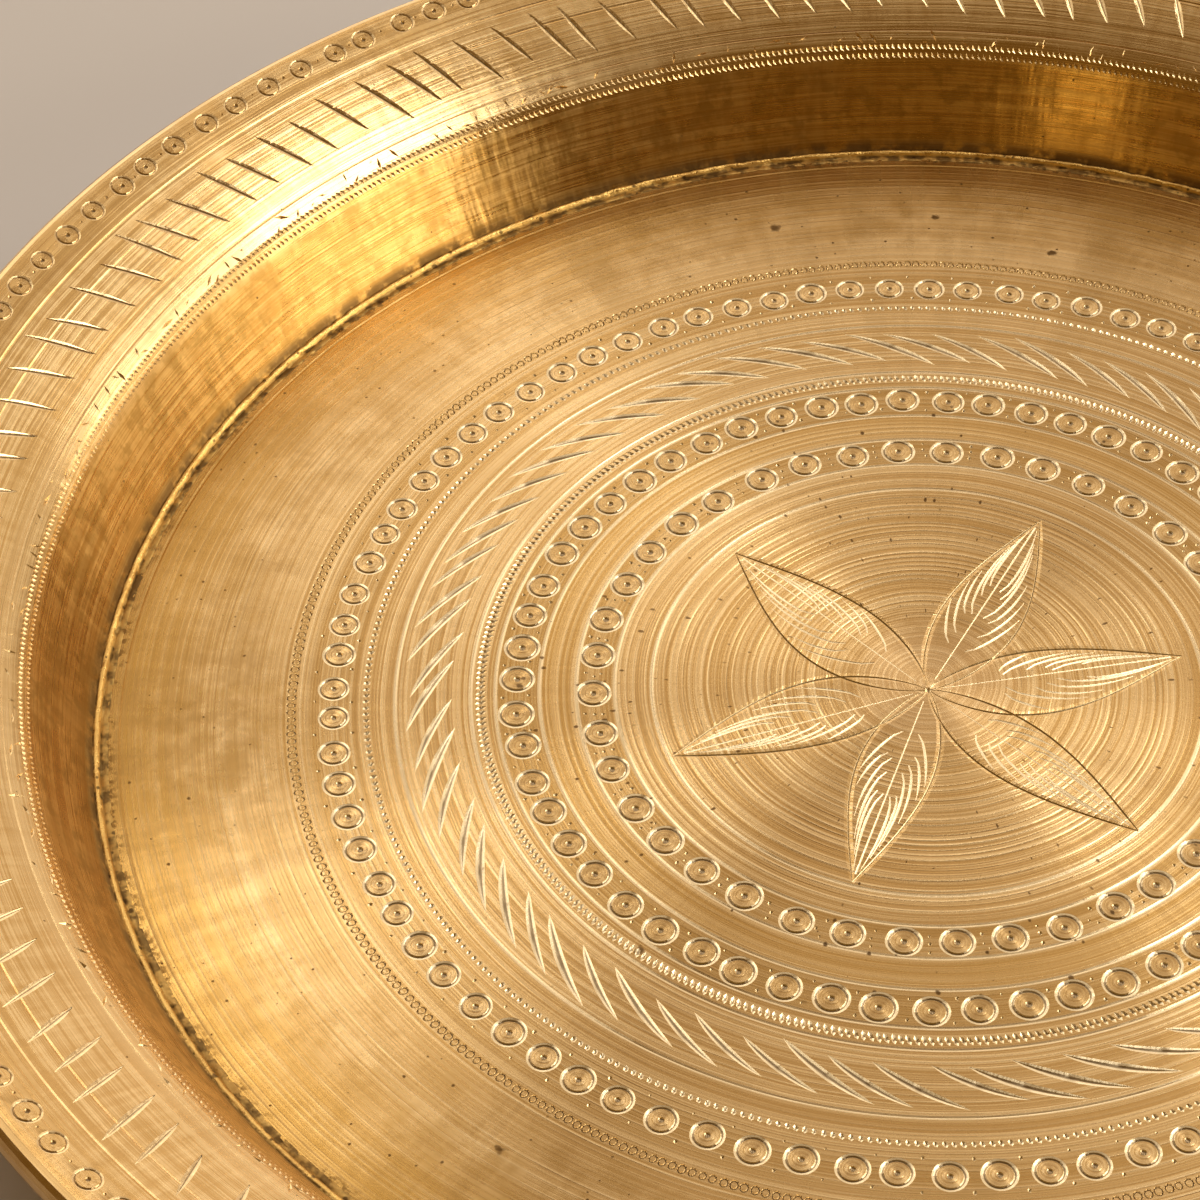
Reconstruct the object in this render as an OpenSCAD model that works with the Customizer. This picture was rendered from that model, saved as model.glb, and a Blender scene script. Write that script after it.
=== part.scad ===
// Thali: a round brass plate with a turned floor, a sloping wall and a flared rim.
// The floor is a disc that lies on the foot of the wall, which is turned in under it.
// A brazed bead closes the joint between them, and the rim's edge is rolled round a wire.

/* [Floor] */
// Radius of the floor disc
floor_r = 117.5; // [90:0.5:150]
// Thickness of the floor disc
floor_t = 1.5; // [1.2:0.1:3]
// Room between the disc's edge and the bend at the foot of the wall
floor_clear = 0.1; // [0.05:0.05:0.3]
// Width of a turned line on the floor
line_w = 0.6; // [0.3:0.05:1]
// Depth of a turned line on the floor
line_depth = 0.25; // [0.1:0.05:0.5]

/* [Wall] */
// Thickness of the sheet that the wall and the rim are raised from
sheet_t = 1.2; // [0.8:0.1:1.6]
// Width of the flat foot turned in under the floor
foot_w = 9; // [5:0.5:15]
// Radius of the bend at the foot, at the middle of the sheet
foot_bend_r = 1.6; // [1.2:0.1:2.2]
// Slope of the wall, in degrees from level
wall_slope = 63; // [50:1:75]
// Length of the wall from the foot bend to the shoulder, up its slope
wall_len = 17; // [10:0.5:30]
// Radius of the bend at the shoulder, at the middle of the sheet
shoulder_r = 5; // [2:0.5:12]

/* [Rim] */
// Slope of the rim beside the shoulder, in degrees from level
rim_slope_in = 30; // [24:1:44]
// Slope of the rim beside its edge, in degrees from level
rim_slope_out = 14; // [6:1:20]
// Length of the rim from the shoulder to the rolled edge, along its face
rim_len = 22.7; // [14:0.1:34]

/* [Rolled edge] */
// Diameter of the wire in the edge
wire_d = 2.2; // [1.6:0.1:4]
// Room between the wire and the sheet rolled round it
wire_clear = 0.1; // [0.05:0.05:0.2]
// Gap between the two ends of the wire
wire_gap = 0.8; // [0.4:0.1:3]
// How far the sheet turns round the wire, in degrees
curl_turn = 280; // [230:5:285]

/* [Seam] */
// How far the brazed bead laps over the floor
bead_lap = 0.4; // [0.2:0.1:1.2]
// How far the brazed bead climbs the wall above the floor
bead_climb = 0.8; // [0.4:0.1:2]
// Height of the bead's crown above a straight line between its two edges
bead_crown = 0.45; // [0.2:0.05:0.8]

/* [Hidden] */

brass = [0.80, 0.62, 0.30];
braze = [0.72, 0.52, 0.22];
iron = [0.42, 0.40, 0.38];

// Sides of a full turn, and the degrees that one step of a bend covers
$fn = 180;
bend_step = 8;

// Turned lines of the floor, as shares of its radius, from the centre outwards
line_shares = [0.336, 0.381, 0.428, 0.473, 0.527, 0.557, 0.649, 0.985];

floor_top = sheet_t + floor_t;
half_t = sheet_t / 2;
foot_r = floor_r + floor_clear;
rim_r = rim_len / ((rim_slope_in - rim_slope_out) * PI / 180);
curl_r = wire_d / 2 + wire_clear + half_t;

// The sheet as it is bent, from the inner edge of the foot to the end of the roll.
// Each run is [length, 0] for a straight stretch, or [radius, turn] for a bend, left turns positive.
foot_start = [foot_r - foot_w, half_t, 0];
foot_run = [foot_w, 0];
foot_bend = [foot_bend_r, wall_slope];
wall_run = [wall_len, 0];
shoulder_bend = [shoulder_r, rim_slope_in - wall_slope];
rim_bend = [rim_r, rim_slope_out - rim_slope_in];
edge_roll = [curl_r, -curl_turn];
sheet_runs = [foot_run, foot_bend, wall_run, shoulder_bend, rim_bend, edge_roll];

// Places along the middle of the sheet, each as [radius, height, slope]
function along(from, run, share) =
    let (turn = run[1])
    let (slope = from[2] + share * turn)
    turn == 0
        ? [from[0] + share * run[0] * cos(slope), from[1] + share * run[0] * sin(slope), slope]
        : [from[0] + sign(turn) * run[0] * (sin(slope) - sin(from[2])),
           from[1] - sign(turn) * run[0] * (cos(slope) - cos(from[2])),
           slope];

function steps(run) = max(1, ceil(abs(run[1]) / bend_step));

function run_places(from, run) =
    [for (i = [0 : steps(run)]) along(from, run, i / steps(run))];

function after(from, runs, count) =
    count == 0 ? from : along(after(from, runs, count - 1), runs[count - 1], 1);

// The start, and then the places of every run without the place that it shares with the run before
function sheet_places(from, runs) =
    concat([from],
           [for (i = [0 : len(runs) - 1])
               let (places = run_places(after(from, runs, i), runs[i]))
               for (k = [1 : len(places) - 1]) places[k]]);

// The points that lie a distance to the left of the given places: the inside of the plate
function beside(places, distance) =
    [for (p = places) [p[0] - distance * sin(p[2]), p[1] + distance * cos(p[2])]];

function turned_round(list) = [for (i = [len(list) - 1 : -1 : 0]) list[i]];

// Where the foot bend starts, where the wall starts and where the edge starts to roll
bend_start = after(foot_start, sheet_runs, 1);
wall_start = after(foot_start, sheet_runs, 2);
roll_start = after(foot_start, sheet_runs, 5);
wire_r = roll_start[0] + curl_r * sin(roll_start[2]);
wire_z = roll_start[1] - curl_r * cos(roll_start[2]);

// The bead's edges on the wall and on the floor
wall_face = beside([wall_start], half_t)[0];
bead_reach = (floor_top - wall_face[1]) / sin(wall_slope) + bead_climb;
bead_top = wall_face + bead_reach * [cos(wall_slope), sin(wall_slope)];
bead_toe = [floor_r - bead_lap, floor_top];
bead_steps = 8;

// The points between two ends of a line that bows out to its right
function bowed(from, to, bow, count) =
    let (chord = to - from)
    let (out = [chord[1], -chord[0]] / norm(chord))
    [for (i = [1 : count - 1])
        let (share = i / count)
        from + share * chord + 4 * share * (1 - share) * bow * out];

// One V-shaped turned line, as three points of the floor's outline from the outside inwards
function turned_line(r) =
    [[r + line_w / 2, floor_top], [r, floor_top - line_depth], [r - line_w / 2, floor_top]];

module floor_disc()
{
    outline = concat(
        [[0, sheet_t], [floor_r, sheet_t], [floor_r, floor_top]],
        [for (share = turned_round(line_shares)) each turned_line(share * floor_r)],
        [[0, floor_top]]);
    color(brass)
        rotate_extrude()
            polygon(outline);
}

module wall_and_rim()
{
    places = sheet_places(foot_start, sheet_runs);
    color(brass)
        rotate_extrude()
            polygon(concat(beside(places, -half_t), turned_round(beside(places, half_t))));
}

// The bead fills the groove between the disc and the bend, and stands up a little as a rounded line
module seam_bead()
{
    groove = beside(run_places(bend_start, foot_bend), half_t);
    outline = concat(
        [bead_toe, [floor_r, floor_top], [floor_r, sheet_t]],
        groove,
        [bead_top],
        bowed(bead_top, bead_toe, bead_crown, bead_steps));
    color(braze)
        rotate_extrude()
            polygon(outline);
}

module rim_wire()
{
    gap_angle = wire_gap / wire_r * 180 / PI;
    color(iron)
        rotate_extrude(angle = 360 - gap_angle)
            translate([wire_r, wire_z])
                circle(d = wire_d);
}

floor_disc();
wall_and_rim();
seam_bead();
rim_wire();
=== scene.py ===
"""Thali plate: the turned, engraved and worn looks of a round brass serving plate."""
import functools
import math

import bmesh
import bpy
from mathutils import Matrix, Vector


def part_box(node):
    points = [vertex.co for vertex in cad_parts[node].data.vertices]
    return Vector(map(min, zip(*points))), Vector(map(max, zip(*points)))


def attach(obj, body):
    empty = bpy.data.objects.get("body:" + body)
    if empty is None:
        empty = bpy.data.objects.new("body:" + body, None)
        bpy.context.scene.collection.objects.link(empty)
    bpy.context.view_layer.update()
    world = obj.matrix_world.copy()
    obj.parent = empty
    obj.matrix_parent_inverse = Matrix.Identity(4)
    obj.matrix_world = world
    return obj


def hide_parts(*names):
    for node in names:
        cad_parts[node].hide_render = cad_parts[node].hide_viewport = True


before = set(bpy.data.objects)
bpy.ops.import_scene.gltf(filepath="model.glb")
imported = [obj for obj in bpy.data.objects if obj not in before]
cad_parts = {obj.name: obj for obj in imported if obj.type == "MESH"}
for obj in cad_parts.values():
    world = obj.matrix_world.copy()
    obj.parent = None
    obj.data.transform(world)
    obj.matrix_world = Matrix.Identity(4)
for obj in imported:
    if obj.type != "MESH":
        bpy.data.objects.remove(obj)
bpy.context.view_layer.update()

bl_info = {
    "name": "Thali Plate",
    "version": (1, 0, 0),
    "blender": (4, 5, 0),
    "location": "3D View > Sidebar > Thali",
    "description": "Builds the turned and engraved looks of a brass thali plate over its solids",
    "category": "Add Mesh",
}

MM = 0.001
FULL_TURN = 2 * math.pi

# Sizes of the floor disc, from its solid's box
FLOOR_LOW, FLOOR_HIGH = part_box("floor_disc")
FLOOR_R = FLOOR_HIGH[0]
FLOOR_TOP = FLOOR_HIGH[2]
FLOOR_UNDER = FLOOR_LOW[2]

# The sheet of the wall and the rim, as it is bent from its foot to its rolled edge:
# each run is (length, 0) for a straight stretch, or (radius, turn in degrees) for a bend
SHEET_T = 1.2 * MM
FOOT_START = (108.6 * MM, 0.6 * MM)
RIM = (81.29 * MM, -16)
SHEET_RUNS = {
    "foot": (9.0 * MM, 0),
    "foot_bend": (1.6 * MM, 63),
    "wall": (17.0 * MM, 0),
    "shoulder": (5.0 * MM, -33),
    "rim": RIM,
    "edge_roll": (1.8 * MM, -280),
}
RUN_STEPS = {"foot": 1, "foot_bend": 6, "wall": 3, "shoulder": 8, "rim": 14, "edge_roll": 14}

# Sides of the turned pieces
FLOOR_SIDES = 384
RIM_SIDES = 288
BEAD_SIDES = 960

# Turned lines of the floor, as shares of its radius, and of the rim, as shares of its length along the face
LINE_SHARES = (0.336, 0.381, 0.428, 0.473, 0.527, 0.557, 0.649, 0.985)
RIM_LINE_SHARES = (0.07, 0.515, 0.70)

# Outline of the bead, in mm from the axis and above the table: over the disc's edge, up to the crest,
# down behind it, and back through the groove
BEAD_OUTLINE = (
    (117.05, 2.66), (117.15, 2.76), (117.40, 2.80), (117.75, 2.80), (117.98, 2.74), (118.10, 2.70),
    (118.22, 2.88), (118.36, 3.16), (118.56, 3.36), (118.80, 3.44), (119.04, 3.40), (119.24, 3.28),
    (119.55, 3.25), (118.60, 1.80), (117.60, 1.30), (117.52, 2.60),
)
LUMP_LENGTH = 2.6 * MM
PIT_SPACING = 1.1 * MM

# Petals of the flower: length, angle in degrees, and the bow of the edge on each side as a share of length
FLOWER_CENTRE = (0.0, -1.6 * MM)
PETALS = (
    (38.4 * MM, 196.3, 0.123, 0.186),
    (37.4 * MM, 248.9, 0.139, 0.151),
    (38.3 * MM, 313.8, 0.133, 0.148),
    (37.2 * MM, 7.5, 0.128, 0.197),
    (38.6 * MM, 59.4, 0.137, 0.166),
    (38.9 * MM, 132.1, 0.200, 0.137),
)
OUTLINE_STEPS = 32
RIB_STEPS = 16
VEIN_STEPS = 8
VEINS_A_SIDE = 6

# Bands of the finishes, in mm: inner and outer radius, and the width of their soft edges
FLOOR_BANDS = {
    "heart": (-9, 12, 10),
    "field": (-9, 42, 4),
    "thumbed": (8, 15, 6),
    "ticked": (12, 60, 6),
    "stamped_in": (44.8, 50.3, 1.2),
    "golden": (50.9, 55.3, 0.8),
    "stamped_mid": (55.6, 62.2, 1.2),
    "stamped_out": (81.6, 89.4, 1.2),
    "rubbed": (92, 130, 6),
    "outside": (94, 130, 5),
    "near_wall": (98, 130, 12),
    "edge": (107, 130, 20),
    "crust": (116.3, 130, 1.6),
}
RIM_BANDS = {
    "crust": (100, 119.9, 0.9),
    "foot": (100, 120.4, 2.4),
    "wall": (100, 126.3, 2),
    "worn": (128, 131, 2),
    "nicked": (128, 132, 1),
    "handled": (143.5, 160, 3),
    # A painted highlight along the rounded outer edge: a lighter colour and a little less roughness
    "lip_highlight": (150.4, 160, 0.4),
}
# The band behind the bead, against the wall: darkened there partly as dirt and partly as painted shade in the
# crease
BEAD_BACK = (119.02, 121, 0.25)

# Half the width, in mm, of the band along a turned line that is painted lighter as a highlight
LINE_HALF = 0.3

# A browner patch of the floor beside the wall
TARNISH_PLACE = (-106 * MM, -6 * MM, 0.0)
TARNISH_SIZE = 30 * MM

# Dark stains on the floor: place on the plate and radius
STAINS = (
    (-15.8 * MM, 101.0 * MM, 1.1 * MM),
    (10.4 * MM, 102.3 * MM, 0.8 * MM),
    (28.3 * MM, 92.4 * MM, 1.0 * MM),
    (-42.7 * MM, -46.9 * MM, 0.9 * MM),
    (-61.8 * MM, -78.6 * MM, 0.9 * MM),
)

# Attributes that the cutters leave on the metal: the centre they turned round, and how deep they went
SPIN_CENTRE = "spin_centre"
SUNK = "sunk"
FULL_DEPTH = 0.15 * MM

# Where a row starts, in pitches, and how its marks stray: along it in pitches, across it, in turn in
# degrees, and in size
STAMPED = {"angle": 0.06, "aside": 0.25 * MM, "turn": 180, "size": 0.04}
DOTTED = {"start": 0.5, "angle": 0.08, "aside": 0.3 * MM, "size": 0.3}
MILLED = {"angle": 0.06, "turn": 6, "size": 0.1}

# The stage: its floor, and the light of the surroundings from dark to bright and in a band low at the back
STAGE_HALF = 3.0
STAGE_DROP = 0.2 * MM
DARK_SIDE = (0.18, 0.10, 0.018, 1.0)
BRIGHT_SIDE = (1.10, 0.95, 0.79, 1.0)
LOW_BAND = (1.9, 1.8, 1.62, 1.0)
BAND_TURN = math.radians(15)

# Each lamp: its way round from +X and up in degrees, distance, width and height, radiance and tint
LAMPS = (
    ("back_lamp", 93.5, 42.3, 1.4, (0.13, 0.13), 1.9, (1.0, 0.98, 0.93)),
    ("left_lamp", 107, 51.6, 1.4, (0.12, 0.12), 3.9, (1.0, 0.98, 0.93)),
    ("left_window", 124, 30, 1.4, (0.7, 0.5), 0.95, (1.0, 0.95, 0.86)),
    ("window_lamp", 52, 48, 1.5, (0.7, 0.9), 0.6, (1.0, 0.93, 0.82)),
    ("left_fill", 150, 55, 1.4, (0.6, 0.6), 1.2, (1.0, 0.97, 0.90)),
    ("left_high", 123, 55, 1.4, (0.34, 0.34), 1.8, (1.0, 0.95, 0.84)),
    ("right_lamp", -18, 20, 1.4, (0.7, 0.6), 4.5, (1.0, 0.92, 0.74)),
    ("right_link", 2, 15, 1.4, (0.32, 0.42), 3.2, (1.0, 0.92, 0.74)),
    ("right_fill", 22, 9, 1.4, (0.7, 0.35), 1.8, (1.0, 0.90, 0.72)),
    ("high_lamp", 14, 58, 1.4, (0.5, 0.45), 7.2, (1.0, 0.99, 0.96)),
    ("shoulder_lamp", 26, 36, 1.4, (0.5, 0.5), 3.8, (1.0, 0.97, 0.90)),
    ("overhead_lamp", 80, 71, 1.4, (0.5, 0.3), 0.8, (1.0, 0.96, 0.90)),
    ("glow_lamp", -113, 15, 1.4, (0.20, 0.25), 3.0, (1.0, 0.70, 0.24)),
)

# The camera: its place, how far it looks down and rolls in degrees, and its lens and sensor in mm
CAMERA_PLACE = (-46.4 * MM, -350.6 * MM, 386.2 * MM)
CAMERA_DIP = 46.09
CAMERA_ROLL = -2.08
CAMERA_LENS = 108.8
CAMERA_SENSOR = 36.0


# Node trees

FLOAT, INT, VECTOR = "NodeSocketFloat", "NodeSocketInt", "NodeSocketVector"
GEOMETRY, OBJECT, MATERIAL = "NodeSocketGeometry", "NodeSocketObject", "NodeSocketMaterial"


class Wiring:
    """Adds nodes to one tree and feeds their inputs with values or with other outputs."""

    def __init__(self, tree):
        self.tree = tree

    def feed(self, socket, value):
        if isinstance(value, bpy.types.NodeSocket):
            self.tree.links.new(value, socket)
        else:
            socket.default_value = value

    def node(self, kind, feeds=None, **settings):
        node = self.tree.nodes.new(kind)
        for name, value in settings.items():
            setattr(node, name, value)
        for key, value in (feeds or {}).items():
            self.feed(node.inputs[key], value)
        return node

    def math(self, operation, *values, clamp=False):
        feeds = dict(enumerate(values))
        return self.node("ShaderNodeMath", feeds, operation=operation, use_clamp=clamp).outputs[0]

    def fold(self, operation, first, *rest):
        """Joins values with one operation, in their order."""
        for value in rest:
            first = self.math(operation, first, value)
        return first

    def total(self, *values):
        return self.fold("ADD", *values)

    def product(self, *values):
        return self.fold("MULTIPLY", *values)

    def most(self, *values):
        return self.fold("MAXIMUM", *values)

    def less(self, value, amount):
        return self.math("SUBTRACT", value, amount)

    def over(self, value, divisor):
        return self.math("DIVIDE", value, divisor)

    def blend(self, *parts):
        """The sum of some values, each times its share."""
        return self.total(*[self.product(value, share) for value, share in parts])

    def without(self, mask, share):
        """What is left of one when a share of a mask is taken away."""
        return self.less(1.0, self.product(mask, share))

    def vector(self, operation, *values, scale=None):
        feeds = dict(enumerate(values))
        if scale is not None:
            feeds["Scale"] = scale
        node = self.node("ShaderNodeVectorMath", feeds, operation=operation)
        return node.outputs["Value" if operation in {"LENGTH", "DISTANCE"} else "Vector"]

    def combine(self, x, y, z):
        return self.node("ShaderNodeCombineXYZ", {0: x, 1: y, 2: z}).outputs[0]

    def separate(self, vector):
        return self.node("ShaderNodeSeparateXYZ", {0: vector}).outputs

    def flattened(self, place, reach):
        """A place without its height, and its way from the axis, drawn out to a reach."""
        x, y, _ = self.separate(place)
        flat = self.combine(x, y, 0.0)
        way = self.vector("SCALE", self.vector("NORMALIZE", flat), scale=reach)
        return flat, *self.separate(way)[:2]

    def ramp(self, value, low, high, to_low=0.0, to_high=1.0):
        feeds = {"Value": value, "From Min": low, "From Max": high, "To Min": to_low, "To Max": to_high}
        node = self.node("ShaderNodeMapRange", feeds, interpolation_type="SMOOTHSTEP", clamp=True)
        return node.outputs[0]

    def noise(self, vector, scale=1.0, detail=2.0, roughness=0.5):
        feeds = {"Vector": vector, "Scale": scale, "Detail": detail, "Roughness": roughness}
        return self.node("ShaderNodeTexNoise", feeds, noise_dimensions="3D").outputs[0]

    def mix_colour(self, share, first, second, blend="MIX"):
        feeds = {0: share, 6: first, 7: second}
        return self.node("ShaderNodeMix", feeds, data_type="RGBA", blend_type=blend).outputs[2]

    def random(self, low, high, seed):
        feeds = {2: low, 3: high, "Seed": seed}
        return self.node("FunctionNodeRandomValue", feeds, data_type="FLOAT").outputs[1]

    def rotation(self, x, y, z):
        return self.node("FunctionNodeEulerToRotation", {0: self.combine(x, y, z)}).outputs[0]

    def store(self, geometry, name, value, data_type, domain):
        feeds = {"Geometry": geometry, "Name": name, "Value": value}
        node = self.node("GeometryNodeStoreNamedAttribute", feeds, data_type=data_type, domain=domain)
        return node.outputs[0]


def new_group(name, kind, inputs, outputs):
    """An empty node group with its sockets, and the wiring to fill it. An input is given by its type, or by
    the number that it starts from."""
    group = bpy.data.node_groups.new(name, kind)
    for label, start in inputs.items():
        socket_type = {int: INT, float: FLOAT}.get(type(start), start)
        socket = group.interface.new_socket(label, in_out="INPUT", socket_type=socket_type)
        if socket_type != start:
            socket.default_value = start
    for label, socket_type in outputs.items():
        group.interface.new_socket(label, in_out="OUTPUT", socket_type=socket_type)
    wiring = Wiring(group)
    entry = wiring.node("NodeGroupInput").outputs
    return group, wiring, entry, wiring.node("NodeGroupOutput").inputs


def new_effect(name, inputs, *outputs):
    return new_group(name, "ShaderNodeTree", {"Place": VECTOR, **inputs}, dict.fromkeys(outputs, FLOAT))


def new_tree(name, inputs):
    ends = {"Geometry": GEOMETRY}
    return new_group(name, "GeometryNodeTree", {**ends, **inputs, "Material": MATERIAL}, ends)


# Effects that the brass finishes share

def turned_rings_group():
    """Rings left by the turning tool: a value that changes across them and drifts along them, and thin
    ridges."""
    group, w, entry, out = new_effect(
        "turned_rings",
        {"Pitch": 0.5 * MM, "Drift": 2.0, "Wave": 0.0, "Roughness": 0.6, "Seed": 0.0}, "Value", "Ridge")
    place = entry["Place"]
    sway_length, ridge_spacing = 14 * MM, 1.45
    flat, way_x, way_y = w.flattened(place, entry["Drift"])
    sway = w.less(w.noise(place, scale=1 / sway_length, detail=1.0), 0.5)
    across = w.total(w.vector("LENGTH", flat), w.separate(place)[2], w.product(sway, entry["Wave"]))
    lookup = w.combine(w.over(across, entry["Pitch"]), w.total(way_x, entry["Seed"]), way_y)
    value = w.noise(lookup, roughness=entry["Roughness"])
    turn = w.over(across, w.product(entry["Pitch"], ridge_spacing / math.pi))
    crest = w.math("POWER", w.less(1.0, w.math("ABSOLUTE", w.math("SINE", turn))), 2.0)
    w.feed(out["Value"], value)
    w.feed(out["Ridge"], w.product(crest, w.ramp(value, 0.38, 0.58)))
    return group


def cross_streaks_group():
    """Faint streaks that run across the rings, as the sheet was beaten and rubbed: a value."""
    group, w, entry, out = new_effect(
        "cross_streaks", {"Count": 60.0, "Length": 20 * MM, "Seed": 0.0}, "Value")
    flat, way_x, way_y = w.flattened(entry["Place"], entry["Count"])
    along = w.over(w.total(w.vector("LENGTH", flat), w.separate(entry["Place"])[2]), entry["Length"])
    lookup = w.combine(way_x, way_y, w.total(along, entry["Seed"]))
    w.feed(out["Value"], w.noise(lookup, roughness=0.6))
    return group


def smudges_group():
    """Cloudy patches of tarnish, as a mask."""
    group, w, entry, out = new_effect(
        "smudges", {"Size": 20 * MM, "Low": 0.45, "High": 0.7, "Seed": 0.0}, "Mask")
    lookup = w.vector("SCALE", entry["Place"], scale=w.over(1.0, entry["Size"]))
    lookup = w.vector("ADD", lookup, w.combine(entry["Seed"], entry["Seed"], 0.0))
    cloud = w.noise(lookup, detail=3.0, roughness=0.62)
    w.feed(out["Mask"], w.ramp(cloud, entry["Low"], entry["High"]))
    return group


def specks_group():
    """Scattered dark pits and specks, as a mask."""
    group, w, entry, out = new_effect("specks", {"Spacing": 3 * MM, "Share": 0.3, "Radius": 0.12}, "Mask")
    raggedness, least_size = 0.12, 0.25
    lookup = w.vector("SCALE", entry["Place"], scale=w.over(1.0, entry["Spacing"]))
    ragged = w.less(w.noise(lookup, scale=4.0, detail=0.0), 0.5)
    cells = w.node("ShaderNodeTexVoronoi", {"Vector": lookup, "Scale": 1.0}, feature="F1").outputs
    pick, size, _ = w.separate(cells["Color"])
    reach = w.product(w.total(size, least_size), entry["Radius"])
    edge = w.total(cells["Distance"], w.product(ragged, raggedness))
    spot = w.ramp(w.over(edge, reach), 1.0, 0.5)
    w.feed(out["Mask"], w.product(spot, w.math("LESS_THAN", pick, entry["Share"])))
    return group


def ring_band_group():
    """A band between two distances from the axis, with soft edges, as a mask."""
    group, w, entry, out = new_effect(
        "ring_band", {"Inner": 40 * MM, "Outer": 50 * MM, "Soft": 1 * MM}, "Mask")
    x, y, _ = w.separate(entry["Place"])
    radius = w.vector("LENGTH", w.combine(x, y, 0.0))
    rise = w.ramp(w.over(w.less(radius, entry["Inner"]), entry["Soft"]), -0.5, 0.5)
    fall = w.ramp(w.over(w.less(entry["Outer"], radius), entry["Soft"]), -0.5, 0.5)
    w.feed(out["Mask"], w.product(rise, fall))
    return group


EFFECTS = {
    "turned_rings": turned_rings_group,
    "cross_streaks": cross_streaks_group,
    "smudges": smudges_group,
    "specks": specks_group,
    "ring_band": ring_band_group,
}


# Materials

def colour(rgb):
    return (*rgb, 1.0)


class Finish(Wiring):
    """A material in the making, with the effects that the finishes share. Their sizes are in mm."""

    def __init__(self, name):
        self.material = bpy.data.materials.new(name)
        self.material.use_nodes = True
        self.material.node_tree.nodes.clear()
        super().__init__(self.material.node_tree)
        surface = self.node("ShaderNodeBsdfPrincipled")
        self.node("ShaderNodeOutputMaterial", {"Surface": surface.outputs[0]})
        self.surface = surface.inputs

    @functools.cached_property
    def place(self):
        return self.node("ShaderNodeTexCoord").outputs["Object"]

    def effect(self, name, place=None, **feeds):
        """The outputs of a shared effect, which is built the first time it is asked for."""
        group = bpy.data.node_groups.get(name) or EFFECTS[name]()
        feeds["Place"] = self.place if place is None else place
        return self.node("ShaderNodeGroup", feeds, node_tree=group).outputs

    def rings(self, place, pitch, drift, wave=0.0, seed=0.0):
        return self.effect("turned_rings", place, Pitch=pitch * MM, Drift=drift, Wave=wave * MM, Seed=seed)

    def streaks(self, count, length, seed=0.0):
        return self.effect("cross_streaks", Count=count, Length=length * MM, Seed=seed)["Value"]

    def smudges(self, size, low, high, seed=0.0):
        return self.effect("smudges", Size=size * MM, Low=low, High=high, Seed=seed)["Mask"]

    def specks(self, spacing, share, radius, place=None):
        return self.effect("specks", place, Spacing=spacing * MM, Share=share, Radius=radius)["Mask"]

    def band(self, inner, outer, soft):
        return self.effect("ring_band", Inner=inner * MM, Outer=outer * MM, Soft=soft * MM)["Mask"]

    def bands(self, table):
        return {name: self.band(*sizes) for name, sizes in table.items()}

    def attribute(self, name):
        return self.node("ShaderNodeAttribute", attribute_name=name, attribute_type="GEOMETRY").outputs

    def spun(self):
        """The arm from the centre that the tool ran round, a stamp's own or the plate's, and its way.
        Turned metal spreads its highlights along this arm, across the tool's rings."""
        arm = self.vector("SUBTRACT", self.place, self.attribute(SPIN_CENTRE)["Vector"])
        return arm, self.vector("NORMALIZE", arm)

    def engraving(self, dirt_from, dirt_full):
        """Masks for the engraving: newly cut metal on its slopes, painted lighter there also as a painted
        highlight, and dirt at the bottom of its grooves.
        """
        sunk = self.attribute(SUNK)["Fac"]
        return self.ramp(sunk, 0.012, 0.07), self.ramp(sunk, dirt_from, dirt_full)

    def coats(self, tint, *layers):
        """Lays colours over a tint, each with its mask and its share."""
        for mask, share, rgb in layers:
            tint = self.mix_colour(self.product(mask, share), tint, colour(rgb))
        return tint

    def bump(self, height, relief):
        feeds = {"Strength": 1.0, "Distance": relief * MM, "Height": height}
        return self.node("ShaderNodeBump", feeds).outputs[0]

    def smooth_where(self, mask, bumped):
        """The bumped normal, but the plain one where the mask is: the graver leaves smooth slopes."""
        plain = self.node("ShaderNodeNewGeometry").outputs["Normal"]
        return self.node("ShaderNodeMix", {0: mask, 4: bumped, 5: plain}, data_type="VECTOR").outputs[1]

    def done(self, feeds):
        for name, value in feeds.items():
            self.feed(self.surface[name], value)
        return self.material


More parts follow.
